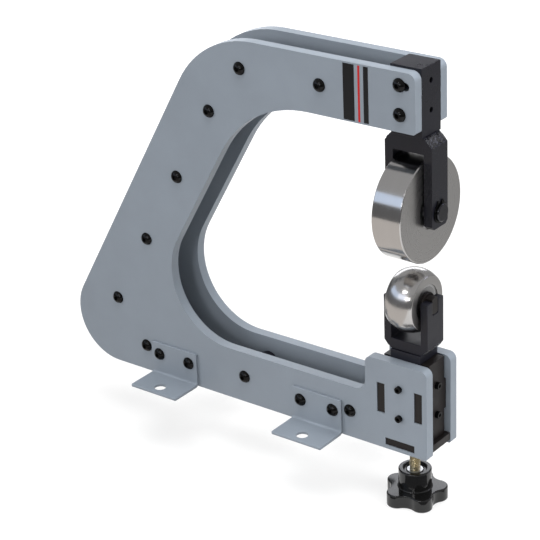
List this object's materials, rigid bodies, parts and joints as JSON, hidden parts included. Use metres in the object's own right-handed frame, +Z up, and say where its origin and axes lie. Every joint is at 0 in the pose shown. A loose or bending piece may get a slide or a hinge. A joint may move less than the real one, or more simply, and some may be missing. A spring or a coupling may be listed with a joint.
{
  "type": "bench-top english wheel",
  "caption": "Bench-top English wheel: C-shaped twin-plate frame, tilting yoke with a flat upper wheel, and a crowned anvil on a post raised by a star knob.",
  "frame": {"origin": "centre of the four bench-bolt holes, on the underside of the feet", "axes": "+Z up, +X from the rear column towards the wheels, -Y the side shown in the picture"},
  "size_m": [0.5059, 0.149, 0.5165],
  "materials": {
    "grey_paint": "satin",
    "black_paint": "semi-gloss",
    "black_oxide": "black oxide",
    "black_screws": "gloss black oxide",
    "axle_steel": "turned",
    "ground_steel": "ground",
    "polished_steel": "mirror polished",
    "bearing_steel": "ground",
    "pressed_steel": "pressed",
    "yellow_zinc": "yellow zinc",
    "white_zinc": "zinc",
    "knob_plastic": "gloss"
  },
  "bodies": {
    "frame": {"near_side_plate": "grey_paint", "far_side_plate": "grey_paint", "spacer_bars": "black_oxide", "near_spacer_screws": "black_screws", "far_spacer_screws": "black_screws", "near_rear_foot": "grey_paint", "near_front_foot": "grey_paint", "far_rear_foot": "grey_paint", "far_front_foot": "grey_paint", "near_foot_screws": "black_screws", "far_foot_screws": "black_screws", "rear_guide_plate": "black_oxide", "front_guide_plate": "black_oxide", "guide_base_bar": "black_oxide", "side_set_screws": "black_oxide", "front_set_screws": "black_oxide"},
    "yoke": {"yoke_stem": "black_paint", "yoke_fork": "black_paint", "yoke_welds": "black_paint", "near_yoke_screws": "black_screws", "far_yoke_screws": "black_screws", "yoke_grub_screws": "black_oxide", "upper_axle": "axle_steel", "upper_axle_circlips": "black_oxide", "upper_axle_collars": "axle_steel", "upper_bearing_inner_rings": "bearing_steel", "upper_bearing_sleeve": "axle_steel"},
    "upper_wheel_set": {"upper_wheel": "ground_steel", "upper_bearing_outer_rings": "bearing_steel", "upper_bearing_shields": "pressed_steel", "upper_bearing_balls": "bearing_steel", "upper_bearing_cages": "pressed_steel"},
    "post_set": {"post": "black_paint", "post_fork": "black_paint", "post_welds": "black_paint", "anvil_axle": "black_oxide", "anvil_axle_collars": "black_oxide", "anvil_bearing_inner_rings": "bearing_steel", "anvil_bearing_sleeve": "axle_steel"},
    "anvil_set": {"anvil": "polished_steel", "anvil_bearing_outer_rings": "bearing_steel", "anvil_bearing_shields": "pressed_steel", "anvil_bearing_balls": "bearing_steel", "anvil_bearing_cages": "pressed_steel"},
    "adjuster": {"adjusting_screw": "yellow_zinc", "star_knob": "knob_plastic", "knob_insert": "white_zinc"}
  },
  "joints": [
    {"name": "yoke_tilt", "type": "hinge", "parent": "frame", "child": "yoke", "pos_m": [0.2195, 0, 0.396], "axis": [0, 1, 0], "range_deg": [-1.5, 14]},
    {"name": "upper_wheel_spin", "type": "hinge", "parent": "yoke", "child": "upper_wheel_set", "pos_m": [0.2195, 0, 0.285], "axis": [1, 0, 0], "continuous": true},
    {"name": "post_slide", "type": "slide", "parent": "frame", "child": "post_set", "axis": [0, 0, 1], "range_m": [-0.0075, 0.0148]},
    {"name": "anvil_spin", "type": "hinge", "parent": "post_set", "child": "anvil_set", "pos_m": [0.2145, 0, 0.175], "axis": [1, 0, 0], "continuous": true},
    {"name": "knob_turn", "type": "hinge", "parent": "post_set", "child": "adjuster", "pos_m": [0.2145, 0, -0.05], "axis": [0, 0, 1], "range_deg": [-1560, 3060]}
  ],
  "couplings": [
    {"joint": "knob_turn", "follows": "post_slide", "rad_per_m": 3590.4}
  ]
}
